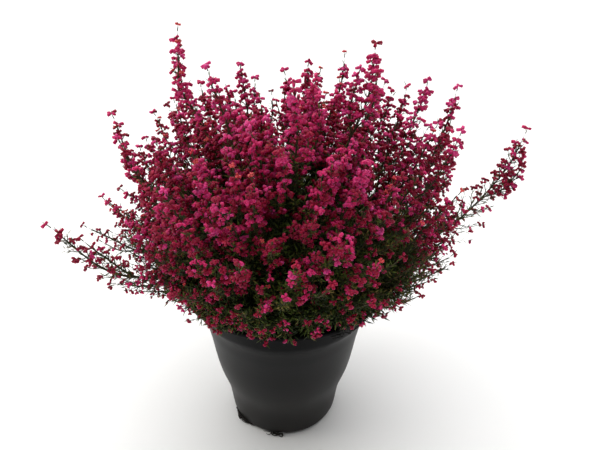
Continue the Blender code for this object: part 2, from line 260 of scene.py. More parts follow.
# %% Pot shape
POT_SEGMENTS = 96
FOOT_RADIUS = 36.7
BODY_STATIONS = ((4.5, 41.3), (26.0, 44.2), (47.0, 50.0), (83.5, 55.8), (97.0, 58.8), (104.0, 63.0))
STATION_STEPS = 5
FOOT_STEPS = 6
POT_HEIGHT = 124.0
RIM_RADIUS = 71.8
LIP_WIDTH = 1.2
LIP_HEIGHT = 3.0
WALL = 1.6
FLOOR_THICKNESS = 2.2


def pick(*items):
    """Object mode, with just these items selected and the last one active."""
    if bpy.context.mode != "OBJECT":
        bpy.ops.object.mode_set(mode="OBJECT")
    bpy.ops.object.select_all(action="DESELECT")
    for item in items:
        item.select_set(True)
        bpy.context.view_layer.objects.active = item


def smooth_stations():
    """Heights and radii of the body with the slopes between stations rounded."""
    heights, radii = np.array(BODY_STATIONS).T
    slopes = np.gradient(radii, heights)
    found = []
    for k, step in enumerate(np.diff(heights)):
        for share in np.arange(STATION_STEPS) / STATION_STEPS:
            left = 1.0 - share
            rise = (radii[k + 1] - radii[k]) * share ** 2 * (3.0 - 2.0 * share)
            bend = step * share * left * (left * slopes[k] - share * slopes[k + 1])
            found.append((heights[k] + share * step, radii[k] + rise + bend))
    return found + [BODY_STATIONS[-1]]


def collar_radius(height):
    low_height, low_radius = BODY_STATIONS[-1]
    share = (height - low_height) / (POT_HEIGHT - low_height)
    return low_radius + (RIM_RADIUS - low_radius) * share


def foot_arc():
    height, radius = BODY_STATIONS[0]
    angles = [0.5 * math.pi * k / FOOT_STEPS for k in range(1, FOOT_STEPS)]
    bulge = radius - FOOT_RADIUS
    return [(height * (1 - math.cos(a)), FOOT_RADIUS + bulge * math.sin(a)) for a in angles]


def upright(height):
    """The centre of every ring of a round thing that doesn't lean."""
    return 0.0, 0.0


def draw_round(name, start_radius, stations, segments, start_height=0.0, centre=upright):
    """Pull a round face through stations of height and radius, about centre(height)."""
    pick()
    x, y = centre(start_height)
    bpy.ops.mesh.primitive_circle_add(
        vertices=segments, radius=start_radius * MM, fill_type="NGON",
        location=(x * MM, y * MM, start_height * MM),
    )
    item = bpy.context.active_object
    item.name = name
    bpy.ops.object.transform_apply(location=True, rotation=True, scale=True)
    bpy.ops.object.mode_set(mode="EDIT")
    bpy.ops.mesh.select_all(action="SELECT")
    height, radius = start_height, start_radius
    for next_height, next_radius in stations:
        next_x, next_y = centre(next_height)
        lift = ((next_x - x) * MM, (next_y - y) * MM, (next_height - height) * MM)
        bpy.ops.mesh.extrude_region_move(TRANSFORM_OT_translate={"value": lift})
        factor = next_radius / radius
        middle = (next_x * MM, next_y * MM, next_height * MM)
        bpy.ops.transform.resize(value=(factor, factor, 1.0), center_override=middle)
        x, y, height, radius = next_x, next_y, next_height, next_radius
    bpy.ops.mesh.select_all(action="SELECT")
    bpy.ops.mesh.normals_make_consistent(inside=False)
    bpy.ops.object.mode_set(mode="OBJECT")
    return item


def pot_stations():
    lip_foot = POT_HEIGHT - LIP_HEIGHT
    lip_radius = RIM_RADIUS + LIP_WIDTH
    body = smooth_stations()
    collar = [(height, collar_radius(height)) for height in np.linspace(106.0, lip_foot, 4)]
    lip = [
        (lip_foot + 0.4, lip_radius - 0.3), (lip_foot + 1.0, lip_radius),
        (POT_HEIGHT - 0.7, lip_radius), (POT_HEIGHT, lip_radius - 0.7),
        (POT_HEIGHT, RIM_RADIUS - WALL + 0.3), (POT_HEIGHT - 0.3, RIM_RADIUS - WALL),
    ]
    inner = [(height, radius - WALL) for height, radius in reversed(body)]
    return foot_arc() + body + collar + lip + inner + [(FLOOR_THICKNESS, FOOT_RADIUS)]


pot = draw_round("nursery_pot", FOOT_RADIUS, pot_stations(), POT_SEGMENTS)
print("pot faces", len(pot.data.polygons))

# %% [markdown]
# The foot has slanting drain holes round its edge, where water runs out and a
# few roots push through. One round cutter is modelled, turned to each bearing
# and taken out of the wall with a Boolean.

# %% Drain holes
DRAIN_HOLES = 6
DRAIN_RADIUS = 3.5
DRAIN_DEPTH = 16.0
DRAIN_PITCH_RADIUS = 38.0
DRAIN_ANGLE = math.radians(45.0)
CREASE = math.radians(32.0)


def drain_bearing(hole):
    return 2.0 * math.pi * (hole + 0.5) / DRAIN_HOLES


def drain_cutter(bearing):
    out = Vector((math.cos(bearing), math.sin(bearing), 0.0))
    slope = (out * math.sin(DRAIN_ANGLE) - Vector((0.0, 0.0, math.cos(DRAIN_ANGLE)))).normalized()
    middle = out * DRAIN_PITCH_RADIUS + Vector((0.0, 0.0, FLOOR_THICKNESS)) + slope
    pick()
    bpy.ops.mesh.primitive_cylinder_add(
        vertices=24, radius=DRAIN_RADIUS * MM, depth=DRAIN_DEPTH * MM, location=middle * MM,
        rotation=slope.to_track_quat("Z", "Y").to_euler(),
    )
    return bpy.context.active_object


for hole in range(DRAIN_HOLES):
    cutter = drain_cutter(drain_bearing(hole))
    pick(pot)
    modifier = pot.modifiers.new("drain", "BOOLEAN")
    modifier.operation, modifier.object = "DIFFERENCE", cutter
    bpy.ops.object.modifier_apply(modifier=modifier.name)
    bpy.data.objects.remove(cutter, do_unlink=True)
pick(pot)
bpy.ops.object.shade_smooth_by_angle(angle=CREASE)
print("pot faces with holes", len(pot.data.polygons))

# %% [markdown]
# ## Black polypropylene
#
# Blown polypropylene has a dull satin skin: soft, wide reflections, a faint
# orange-peel texture about a millimetre across, and a little pale dust of dried
# compost water low down. A flat black would look like a hole in the picture, so
# two dark greys are mixed by a soft noise and the roughness varies with them.
# The reflection is weakened by height over the shoulder as painted shade: the collar
# lies under the overhanging crown, and a weaker gloss makes it read darker there.

# %% Pot material
SHOULDER_HEIGHTS = (0.09, 0.107)
COLLAR_SHADE_GLOSSES = (0.14, 0.015)
ROUGHNESSES = (0.36, 0.52)
DUST_HEIGHTS = (0.085, 0.01)
DUST_SHARES = (0.0, 0.5)


def noise_value(tree, where, scale, detail):
    made = node(tree, "ShaderNodeTexNoise", {"Vector": where}, Scale=scale, Detail=detail)
    return made.outputs["Fac"]


def mottled(name, tones, spread, scale, detail, roughness, ior):
    """A material with two tones mixed by a noise over the object."""
    material, tree, shader = empty_material(name, roughness, ior)
    where = node(tree, "ShaderNodeTexCoord").outputs["Object"]
    cloud = noise_value(tree, where, scale, detail)
    ramp = node(tree, "ShaderNodeValToRGB", {"Fac": cloud})
    for stop, position, tone in zip(ramp.color_ramp.elements, spread, tones):
        stop.position, stop.color = position, linear(tone)
    tree.links.new(ramp.outputs["Color"], shader.inputs["Base Color"])
    return material, tree, shader, where, cloud


def add_grain(tree, shader, where, scale, detail, strength, depth):
    """Fine bumps from a second noise."""
    grain = noise_value(tree, where, scale, detail)
    bump = node(tree, "ShaderNodeBump", {"Height": grain}, Strength=strength, Distance=depth)
    tree.links.new(bump.outputs["Normal"], shader.inputs["Normal"])


def polypropylene():
    material, tree, shader, where, cloud = mottled(
        "blown_black_polypropylene", ("0D0D0E", "141415"), (0.3, 0.75), 38.0, 5.0, 0.4, 1.49
    )
    height = node(tree, "ShaderNodeSeparateXYZ", {"Vector": where}).outputs["Z"]
    # Painted shade: the gloss fades above the shoulder, so the collar under the crown reads darker.
    mapped(tree, height, SHOULDER_HEIGHTS, COLLAR_SHADE_GLOSSES, shader.inputs["Specular IOR Level"])
    mapped(tree, cloud, (0.0, 1.0), ROUGHNESSES, shader.inputs["Roughness"])
    dusty = node(tree, "ShaderNodeMath", {1: cloud}, operation="MULTIPLY")
    mapped(tree, height, DUST_HEIGHTS, DUST_SHARES, dusty.inputs[0])
    tone = shader.inputs["Base Color"].links[0].from_socket
    mix = node(tree, "ShaderNodeMix", data_type="RGBA")
    tree.links.new(dusty.outputs["Value"], mix.inputs[0])
    tree.links.new(tone, mix.inputs[6])
    mix.inputs[7].default_value = linear("2E2923")
    tree.links.new(mix.outputs[2], shader.inputs["Base Color"])
    add_grain(tree, shader, where, 700.0, 2.0, 0.12, 0.0003)
    return material


def finish_piece(item, material, slot, *nodes):
    """Give a piece its material and tie it to the frame."""
    item.data.materials.clear()
    item.data.materials.append(material)
    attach(item, "root")
    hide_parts(*nodes)


finish_piece(pot, polypropylene(), "pot_plastic", "pot")
print("pot material", pot.data.materials[0].name)

# %% [markdown]
# ## Compost
#
# Damp peat compost fills the pot to a finger's width under the rim. It is
# crumbly, so a smooth disc would give it away between the lowest sprays. The
# disc is drawn in rings with a low mound, its upper skin is pushed about by
# noise, and loose crumbs are strewn on top.

# %% Compost shape
CLEARANCE = 0.3
COMPOST_TOP = 111.0
COMPOST_MOUND = 1.6
COMPOST_FLAT_RADIUS = 16.0
COMPOST_RELIEF = 0.9
COMPOST_SEGMENTS = 80


def mound(radius, wall):
    """How far the compost rises above its edge between its flat middle and the wall."""
    share = (radius - COMPOST_FLAT_RADIUS) / (wall - COMPOST_FLAT_RADIUS)
    return COMPOST_MOUND * np.maximum(0.0, np.sin(math.pi * share))


def compost_stations():
    inset = WALL + CLEARANCE
    wall = collar_radius(COMPOST_TOP) - inset
    found = [(height, radius - inset) for height, radius in smooth_stations()]
    found.append((COMPOST_TOP - 0.6, wall))
    radii = np.maximum(np.linspace(0.985, 0.03, 26) * wall, 1.5)
    return found + list(zip(COMPOST_TOP + mound(radii, wall), radii))


def push_out(item, amount, low=-1e9):
    """Move each vertex above a height along its normal by amount(point in mm)."""
    mesh = item.data
    normals = [vertex.normal.copy() for vertex in mesh.vertices]
    for vertex, normal in zip(mesh.vertices, normals):
        if vertex.co.z > low * MM:
            vertex.co += normal * amount(vertex.co / MM) * MM
    mesh.update()


def crumbly(point):
    return COMPOST_RELIEF * (0.7 * noise.noise(point * 0.55) + 0.6 * noise.noise(point * 0.16))


def smooth(*items):
    pick(*items)
    bpy.ops.object.shade_smooth()


compost_foot = FLOOR_THICKNESS + CLEARANCE
compost = draw_round("peat_fill", FOOT_RADIUS, compost_stations(), COMPOST_SEGMENTS, compost_foot)
push_out(compost, crumbly, COMPOST_TOP - 0.1)
smooth(compost)
print("compost faces", len(compost.data.polygons))

# %% [markdown]
# The crumbs are one low, broken stone shape, modelled once and copied over the
# surface with a turn and a size of their own. All copies are joined in one
# mesh, as every kind of small thing in this lesson will be.

# %% Joined copies
UP = np.array((0.0, 0.0, 1.0))
SIDEWAYS = np.array((1.0, 0.0, 0.0))


def joined(name, points, triangles):
    """One mesh object from arrays: points in mm and corner numbers."""
    points = np.ascontiguousarray(points.reshape(-1, 3) * MM, dtype=np.float32)
    triangles = np.ascontiguousarray(triangles.reshape(-1, 3), dtype=np.int32)
    mesh = bpy.data.meshes.new(name)
    mesh.vertices.add(len(points))
    mesh.vertices.foreach_set("co", points.ravel())
    mesh.loops.add(triangles.size)
    mesh.loops.foreach_set("vertex_index", triangles.ravel())
    mesh.polygons.add(len(triangles))
    mesh.polygons.foreach_set("loop_start", np.arange(0, triangles.size, 3, dtype=np.int32))
    mesh.update(calc_edges=True)
    mesh.validate()
    item = bpy.data.objects.new(name, mesh)
    bpy.context.scene.collection.objects.link(item)
    return item


def as_arrays(item):
    """A modelled template as points in mm and triangles; the object is removed."""
    shape = bmesh.new()
    shape.from_mesh(item.data)
    bmesh.ops.triangulate(shape, faces=shape.faces)
    bmesh.ops.recalc_face_normals(shape, faces=shape.faces)
    shape.verts.ensure_lookup_table()
    points = np.array([vertex.co / MM for vertex in shape.verts])
    triangles = np.array([[vertex.index for vertex in face.verts] for face in shape.faces])
    shape.free()
    bpy.data.objects.remove(item, do_unlink=True)
    return points, triangles


def all_faces(points, faces):
    """Flat points and faces of many shapes alike; points has a row for each shape."""
    steps = np.arange(len(points)) * points.shape[1]
    return points.reshape(-1, 3), (faces[None] + steps[:, None, None]).reshape(-1, 3)


def copies(template, spots, frames, sizes):
    """Copies of a template: frames hold the three axes of each copy as columns."""
    points, triangles = template
    turned = np.einsum("nij,vj->nvi", frames, points) * sizes[:, None, None]
    return all_faces(turned + spots[:, None, :], triangles)


def unit(vectors):
    return vectors / np.maximum(np.linalg.norm(vectors, axis=-1, keepdims=True), 1e-9)


def around(far, bearing, height):
    """Points at these distances from the upright axis."""
    return np.stack((far * np.cos(bearing), far * np.sin(bearing), height), axis=-1)


def swung(start, side, angles):
    """Vectors turned by angles from a start towards a side."""
    return np.cos(angles)[:, None] * start + np.sin(angles)[:, None] * side


def never_along(ways, steep):
    """Up, or sideways where a way is steep: a direction to cross each way with."""
    return np.where(np.abs(ways[:, 2:3]) < steep, UP, SIDEWAYS)


def frames_along(ways, turns):
    """Three axes for each way, the third along it, turned about it."""
    side = unit(np.cross(never_along(ways, 0.9), ways))
    first = swung(side, np.cross(ways, side), turns)
    return np.stack((first, np.cross(ways, first), ways), axis=-1)


# %% Crumbs of peat
CRUMBS = 420
CRUMB_SIZES = (0.5, 1.5)


def crumb_template():
    pick()
    bpy.ops.mesh.primitive_ico_sphere_add(subdivisions=1, radius=1.0 * MM)
    crumb = bpy.context.active_object
    bpy.ops.object.mode_set(mode="EDIT")
    bpy.ops.mesh.select_all(action="SELECT")
    bpy.ops.transform.resize(value=(1.3, 0.9, 0.65), center_override=(0.0, 0.0, 0.0))
    bpy.ops.transform.vertex_random(offset=0.35 * MM, seed=3)
    bpy.ops.object.mode_set(mode="OBJECT")
    return as_arrays(crumb)


def strew_crumbs():
    dice = np.random.default_rng(5)
    wall = collar_radius(COMPOST_TOP) - WALL - 3.0
    radii = wall * np.sqrt(dice.uniform(0.02, 1.0, CRUMBS))
    bearings = dice.uniform(0.0, 2.0 * math.pi, CRUMBS)
    heights = COMPOST_TOP + mound(radii, wall) + 0.3
    spots = around(radii, bearings, heights)
    frames = frames_along(unit(dice.normal(size=(CRUMBS, 3))), dice.uniform(0.0, 6.3, CRUMBS))
    sizes = dice.uniform(*CRUMB_SIZES, CRUMBS)
    return joined("peat_crumbs", *copies(crumb_template(), spots, frames, sizes))


crumbs = strew_crumbs()
print("crumb faces", len(crumbs.data.polygons))

# %% [markdown]
# ## Peat material
#
# Damp peat is almost black, with brown fibres and hardly any gloss. Two browns
# are mixed by a noise a few millimetres across, with a fine bump for the grain.

# %% Peat material
ROUGH_SPREAD = (0.36, 0.66)


def grainy(name, tones, scale, roughness, grain=0.0, strength=0.0):
    """A rough natural material: two tones mixed by noise, with a grain bump."""
    material, tree, shader, where, _ = mottled(
        name, tones, ROUGH_SPREAD, scale, 6.0, roughness, 1.45
    )
    if strength:
        add_grain(tree, shader, where, grain, 3.0, strength, 0.0006)
    return material


peat = grainy("damp_peat_compost", ("17110D", "33271E"), 260.0, 0.93, 900.0, 0.6)
finish_piece(compost, peat, "compost", "compost")
finish_piece(crumbs, peat, "compost", "compost")
print("peat pieces", compost.name, crumbs.name)

# %% [markdown]
# ## Stem, burl and boughs
#
# Heather springs from a knobbly burl on a short flared stem. The stem is drawn
# upwards like the pot, but leaning, and noise stretched along it raises the
# flaking bark. The boughs are thin and many, so each is laid out as a path on
# the growth rule with its own thickness, and all paths become one mesh.

# %% Stem
HUB_HEIGHT = 127.0
BURL_RADIUS = 10.0
STEM_LEAN = (1.6, -1.0)
STEM_FOOT = COMPOST_TOP + CLEARANCE
STEM_FLARE = ((0.5, 12.0), (1.2, 10.0), (2.4, 8.6), (4.0, 7.6), (5.3, 7.2))
BURL_DEGREES = range(134, 5, -8)


def stem_centre(height):
    share = -max(0.0, (HUB_HEIGHT - height) / (HUB_HEIGHT - COMPOST_TOP))
    return STEM_LEAN[0] * share, STEM_LEAN[1] * share


def stem_stations():
    flare = [(STEM_FOOT + height, radius) for height, radius in STEM_FLARE]
    angles = np.radians(BURL_DEGREES)
    heights, radii = HUB_HEIGHT + BURL_RADIUS * np.cos(angles), BURL_RADIUS * np.sin(angles)
    return flare + list(zip(heights, radii))


def flaking(point):
    long_grain = noise.noise(Vector((point.x * 0.55, point.y * 0.55, point.z * 0.14)))
    knobs = noise.noise(point * 0.22 + Vector((7.0, 0.0, 0.0)))
    return 0.45 * long_grain + 0.2 * noise.noise(point * 0.9) + 0.7 * knobs


stem = draw_round("stem_and_burl", 12.5, stem_stations(), 56, STEM_FOOT, stem_centre)
push_out(stem, flaking, COMPOST_TOP + 0.5)
print("stem faces", len(stem.data.polygons))

# %% [markdown]
# ## The growth rule
#
# Every limb starts at the burl and sweeps upwards, so a path is named by the
# way it points at its far end, and a point on it by its reach from the burl.
# Twenty-five leaders stand out of the crown's outline, and each owns the space
# nearer to it than to any other. Spikes are spread evenly over the dome by the
# golden angle, given to the nearest leader, and fork off it about half way up.
# Placing every spray by hand would follow the picture as well from the front,
# but a rule also fills the sides and the back that no picture shows.

# %% Ways and paths
HUB = np.array((0.0, 0.0, HUB_HEIGHT))
SWEEP = math.radians(30.0)
SWEEP_SPAN = math.radians(100.0)
SWEEP_REACH = 165.0
UNBEND_ROUNDS = 30


def heading(bearing, lean):
    return around(np.sin(lean), bearing, np.cos(lean))


def bearing_and_lean(ways):
    return np.arctan2(ways[..., 1], ways[..., 0]), np.arccos(np.clip(ways[..., 2], -1.0, 1.0))


def sweep(lean):
    return SWEEP * np.sin(math.pi * lean / SWEEP_SPAN) ** 2


def sweep_left(reaches):
    """The share of the sweep that is still to come at each reach."""
    return 1.0 - (reaches / SWEEP_REACH) ** 2


def place(ways, reaches):
    """Points at these reaches on the curved paths that end in these ways."""
    reaches = np.asarray(reaches, dtype=float)
    bearing, lean = bearing_and_lean(ways)
    lean = lean + sweep(lean) * sweep_left(reaches)
    return HUB + reaches[..., None] * heading(bearing, lean)


def unbend(points):
    """The way whose path runs through each point, and the point's reach."""
    offsets = points - HUB
    reaches = np.linalg.norm(offsets, axis=-1)
    bearing, bent = bearing_and_lean(offsets / np.maximum(reaches, 1e-6)[..., None])
    lean = bent
    for _ in range(UNBEND_ROUNDS):
        lean = bent - sweep(lean) * sweep_left(reaches)
    return heading(bearing, lean), reaches


def blend(start, end, share):
    """Ways turned from start to end by a share of the angle between them."""
    share = np.asarray(share, dtype=float)
    angle = np.maximum(np.arccos(np.clip((start * end).sum(-1), -1.0, 1.0)), 1e-6)
    left, done = np.sin((1.0 - share) * angle), np.sin(share * angle)
    return unit(left[..., None] * start + done[..., None] * end)


# %% Leaders and the space of each
MASSES = (
    ("crown_top", 58, 11, 133),
    ("tall_left", 175, 22, 163),
    ("upper_front_left", -142, 17, 145),
    ("upper_front", -82, 19, 144),
    ("upper_right", -10, 18, 154),
    ("upper_back_right", 44, 18, 143),
    ("upper_back_left", 116, 21, 127),
    ("middle_left", -170, 37, 145),
    ("middle_front_left", -136, 35, 126),
    ("middle_front", -92, 38, 116),
    ("middle_front_right", -52, 37, 124),
    ("middle_right", 4, 38, 158),
    ("middle_back_right", 46, 42, 144),
    ("middle_back", 92, 43, 132),
    ("middle_back_left", 136, 45, 146),
    ("long_right", 0, 59, 175),
    ("low_right", -36, 55, 121),
    ("low_front_right", -66, 60, 92),
    ("low_front", -99, 64, 92),
    ("low_front_left", -129, 62, 90),
    ("long_left", -148, 60, 152),
    ("low_left", -176, 70, 134),
    ("low_back_left", 142, 66, 126),
    ("low_back", 92, 64, 120),
    ("low_back_right", 42, 66, 124),
)
CROWN_LEANS = (0.0, 25.0, 42.0, 58.0, 72.0, 90.0)
CROWN_REACHES = (134.0, 138.0, 142.0, 122.0, 98.0, 86.0)
FRONT_SHORTER = 0.15
SIDES_LONGER = 0.05
BOUGH_SHARE = 0.34
AXES = heading(*np.radians([mass[1:3] for mass in MASSES]).T)


def crown_reach(bearing, lean):
    """How far the crown reaches in a direction, between its leaders."""
    reach = np.interp(np.degrees(lean), CROWN_LEANS, CROWN_REACHES)
    front = np.maximum(0.0, -np.sin(bearing))
    side = np.abs(np.cos(bearing))
    return reach * (1.0 + (SIDES_LONGER * side - FRONT_SHORTER * front) * np.sin(lean))


def bough_end(axis):
    return BOUGH_SHARE * float(crown_reach(*bearing_and_lean(axis)))


def room(points, home):
    """Distance from each point to the nearest side of its leader's space."""
    ways, reaches = unbend(points)
    across = unit(AXES[home] - np.delete(AXES, home, axis=0))
    return (reaches[..., None] * (ways @ across.T)).min(axis=-1)


print("leaders", len(AXES), "first bough ends at", round(bough_end(AXES[0]), 1), "mm")

# %% Boughs
BOUGH_RADII = (1.4, 1.05)
BOUGH_POINTS = 14


def lay_boughs():
    curve = bpy.data.curves.new("boughs", "CURVE")
    curve.dimensions = "3D"
    curve.bevel_depth = 1.0 * MM
    curve.bevel_resolution = 3
    curve.use_fill_caps = True
    for axis in AXES:
        reaches = np.linspace(BURL_RADIUS - 1.5, bough_end(axis) + 1.5, BOUGH_POINTS)
        points = place(np.tile(axis, (BOUGH_POINTS, 1)), reaches) * MM
        spline = curve.splines.new("POLY")
        spline.points.add(BOUGH_POINTS - 1)
        for n, point in enumerate(points):
            spline.points[n].co = (*point, 1.0)
            spline.points[n].radius = np.interp(n, (0, BOUGH_POINTS - 1), BOUGH_RADII)
    item = bpy.data.objects.new("boughs", curve)
    bpy.context.scene.collection.objects.link(item)
    pick(item)
    bpy.ops.object.convert(target="MESH")
    return bpy.context.active_object


def thin_bark(point):
    long_grain = noise.noise(Vector((point.x * 0.9, point.y * 0.9, point.z * 0.3)))
    return 0.16 * long_grain + 0.1 * noise.noise(point * 1.7)


boughs = lay_boughs()
push_out(boughs, thin_bark)
smooth(stem, boughs)
bark = grainy("flaking_heather_bark", ("3A2B20", "7A6650"), 420.0, 0.85, 1400.0, 0.5)
finish_piece(stem, bark, "bark", "stem")
finish_piece(boughs, bark, "bark", *BOUGHS)
print("bough faces", len(boughs.data.polygons))

# %% [markdown]
# ## Spikes
#
# A spike is one upright flowering twig. First come the spikes that the solid
# model has, grown again by the same rule and the same dice. They make the
# outline with its gaps. A slow sway keeps them from looking ruled.

# %% Spikes of the solid model
GOLDEN_TURN = math.radians(137.508)
SPARSE = {"count": 114, "turn": 1.54, "seed": 4, "jitter": 0.06, "reach_shares": (0.86, 1.0)}
LEADER_ROOM = math.radians(6.5)
LOWEST_LEAN = math.radians(81.0)
FORK_SHARES = (0.38, 0.5)
FORK_SUNK = 2.5
FORK_SPREAD = 0.6
SLANT_BACK = 0.08
TIP_ROOM = 6.0
SWAY = 1.3
SWAY_EASE = 35.0
SWAY_WAVES = (55.0, 95.0)
SWAY_SEEDS = 7000
FORK_SEEDS = 100


class Spike:
    """A flowering spike: its leader, its tip's way and reach, where it forks off."""

    def __init__(self, home, aim, fork, tip, parent=None, number=0):
        self.home, self.aim, self.fork, self.tip, self.parent = home, aim, fork, tip, parent
        dice = random.Random(SWAY_SEEDS + number)
        self.wave = dice.uniform(*SWAY_WAVES)
        self.phase = dice.uniform(0.0, 6.28)
        self.side = unit(np.cross(aim, (0.31, 0.77, 0.55)))

    def way(self, reaches):
        if self.parent is None:
            return np.tile(self.aim, (len(reaches), 1))
        share = np.clip((reaches - self.fork) / ((self.tip - self.fork) * FORK_SPREAD), 0.0, 1.0)
        return blend(self.parent.way(reaches), self.aim, np.sin(0.5 * math.pi * share))

    def sway(self, reaches):
        before = 0.0 if self.parent is None else self.parent.sway(reaches)
        ease = SWAY * np.clip((reaches - self.fork) / SWAY_EASE, 0.0, 1.0)[:, None]
        angle = (2.0 * math.pi * reaches / self.wave + self.phase)[:, None]
        other = np.cross(self.aim, self.side)
        return before + ease * (np.sin(angle) * self.side + np.cos(1.3 * angle) * other)

    def points(self, reaches):
        reaches = np.asarray(reaches, dtype=float)
        return place(self.way(reaches), reaches) + self.sway(reaches)


def kept_in(home, aim, tip, spare):
    """The aim, slanted back until its tip is well inside its leader's space."""
    while room(place(aim, tip), home) < spare:
        aim = blend(aim, AXES[home], SLANT_BACK)
    return aim


def lattice_aims(count, turn, seed, jitter, reach_shares):
    """Aims spread evenly over the dome, each with its leader and its reach."""
    found = [[] for _ in MASSES]
    dice = random.Random(seed)
    for n in range(count):
        lean = min(math.acos(1.0 - (n + 0.5) / count), LOWEST_LEAN)
        bearing = turn + n * GOLDEN_TURN + dice.uniform(-jitter, jitter)
        aim = heading(bearing, lean)
        near = AXES @ aim
        home = int(near.argmax())
        if near[home] <= math.cos(LEADER_ROOM):
            reach = float(crown_reach(bearing, lean))
            found[home].append((aim, reach * dice.uniform(*reach_shares)))
    return found


def main_spikes(lattice):
    found = []
    for home, axis in enumerate(AXES):
        dice = random.Random(FORK_SEEDS + home)
        first = bough_end(axis) + CLEARANCE
        leader = Spike(home, axis, first, MASSES[home][3], None, len(found))
        found.append(leader)
        for aim, tip in lattice[home]:
            aim = kept_in(home, aim, tip, TIP_ROOM)
            fork = max(tip * dice.uniform(*FORK_SHARES), first + FORK_SUNK + 1.0)
            found.append(Spike(home, aim, fork, tip, leader, len(found)))
    return found


spikes = main_spikes(lattice_aims(**SPARSE))
print("spikes of the solid model", len(spikes))

# %% [markdown]
# A second, closer lattice fills the dome with finer and shorter spikes, each
# forking off the spike beside it, so that the outline keeps its gaps while the
# dome closes. On the right, where the picture's crown is taller between its
# leaders, they are stretched a little, and on the left they are held back. Where
# the picture shows sky, in a notch at the top and between sprays on the right, a
# few ways are kept open instead.

# %% Finer spikes
CLOSER = {"count": 600, "turn": 1.3, "seed": 11, "jitter": 0.12, "reach_shares": (0.74, 0.97)}
FINER_FORKS = (0.5, 0.6)
FINER_ROOM = math.radians(3.6)
FINER_FORK_SEEDS = 300
FINER_NUMBERS = 1000
FINER_STRETCH = {
    "upper_right": 1.08, "middle_right": 1.12, "upper_back_right": 1.06,
    "tall_left": 0.92, "middle_left": 0.9,
}
OPEN_WAYS = (
    (-140.0, 5.0), (-92.0, 8.0), (122.0, 6.0), (114.0, 14.0), (104.0, 26.0),
    (-14.0, 43.0), (-34.0, 52.0),
)
OPEN_AXES = heading(*np.radians(OPEN_WAYS).T)
OPEN_WIDTH = math.radians(4.5)


def finer_spikes(main, taken, lattice, clear):
    """Spikes on a closer lattice, clear of those taken, forking off the nearest."""
    aims = np.array([spike.aim for spike in main])
    homes = np.array([spike.home for spike in main])
    others = np.array([spike.aim for spike in taken])
    found = []
    for home in range(len(MASSES)):
        dice = random.Random(FINER_FORK_SEEDS + home)
        for aim, tip in lattice[home]:
            in_sky = (OPEN_AXES @ aim).max() > math.cos(OPEN_WIDTH)
            if in_sky or (others @ aim).max() > math.cos(clear):
                continue
            tip *= FINER_STRETCH.get(MASSES[home][0], 1.0)
            aim = kept_in(home, aim, tip, 0.5 * TIP_ROOM)
            near = np.where(homes == home, aims @ aim, -2.0)
            parent = main[int(near.argmax())]
            fork = max(tip * dice.uniform(*FINER_FORKS), parent.fork + 6.0)
            number = FINER_NUMBERS + len(taken) + len(found)
            found.append(Spike(home, aim, fork, tip, parent, number))
    return found


finer = finer_spikes(spikes, spikes, lattice_aims(**CLOSER), FINER_ROOM)
print("finer spikes", len(finer))

# %% [markdown]
# Where the picture looks straight down on the crown, no sky shows between the
# sprays at all. So a third lattice, closer again, adds spikes only within a
# cone that faces the viewer.

# %% Closest spikes, at the front
CLOSEST = {"count": 1000, "turn": 0.4, "seed": 12, "jitter": 0.12, "reach_shares": (0.82, 1.0)}
FRONT_ROOM = math.radians(2.7)
FRONT_WAY = heading(math.radians(-94.0), math.radians(42.0))
FRONT_WIDTH = math.radians(25.0)


def front_only(lattice):
    """The aims that lie within the cone that faces the viewer."""
    least = math.cos(FRONT_WIDTH)
    return [[pair for pair in pairs if pair[0] @ FRONT_WAY > least] for pairs in lattice]


facing = front_only(lattice_aims(**CLOSEST))
finer += finer_spikes(spikes, spikes + finer, facing, FRONT_ROOM)
print("finer spikes with those at the front", len(finer))

# %% [markdown]
# A real spray of bell heather is a thick column, because short twigs stand
# close round its main one. Three companions round every spike of the solid
# model make it such a column, and leave the spike's own tip bare above them.

# %% Companions
COMPANIONS = 3
COMPANION_ANGLES = (2.6, 4.6)
COMPANION_REACHES = (0.66, 0.95)
COMPANION_LENGTHS = (22.0, 40.0)
SHORTEST_COMPANION = 12.0
COMPANION_SEED = 500
COMPANION_NUMBERS = 3000


def companions(main):
    """Short spikes close round each main one, which make it a column."""
    found = []
    dice = random.Random(COMPANION_SEED)
    for parent in main:
        for n in range(COMPANIONS):
            turn = 2.1 * n + dice.uniform(-0.5, 0.5)
            out = math.cos(turn) * parent.side + math.sin(turn) * np.cross(parent.aim, parent.side)
            aim = unit(parent.aim + math.radians(dice.uniform(*COMPANION_ANGLES)) * out)
            tip = parent.tip * dice.uniform(*COMPANION_REACHES)
            fork = max(tip - dice.uniform(*COMPANION_LENGTHS), parent.fork + 4.0)
            if tip - fork > SHORTEST_COMPANION:
                aim = kept_in(parent.home, aim, tip, 0.5 * TIP_ROOM)
                number = COMPANION_NUMBERS + len(found)
                found.append(Spike(parent.home, aim, fork, tip, parent, number))
    return found


beside = companions(spikes)
everything = spikes + finer + beside
print("companions", len(beside), "spikes in all", len(everything))

# %% [markdown]
# Stems are thin tapering tubes. A bevelled curve for each would do, as for the
# boughs, but with thousands of them it is slow. So one function turns many paths
# into tubes at once: a ring of points round each step of the path and a single
# point at the end. It makes the spikes and their side shoots, and later the
# roots and withered twigs at the pot.

# %% Tubes along paths
def tube_faces(rings, sides):
    found = []
    for row in range(rings - 2):
        for k in range(sides):
            low, next_low = row * sides + k, row * sides + (k + 1) % sides
            found += [(low, next_low, next_low + sides), (low, next_low + sides, low + sides)]
    last = (rings - 2) * sides
    found += [(last + k, last + (k + 1) % sides, last + sides) for k in range(sides)]
    found += [(0, k + 1, k) for k in range(1, sides - 1)]
    return np.array(found)


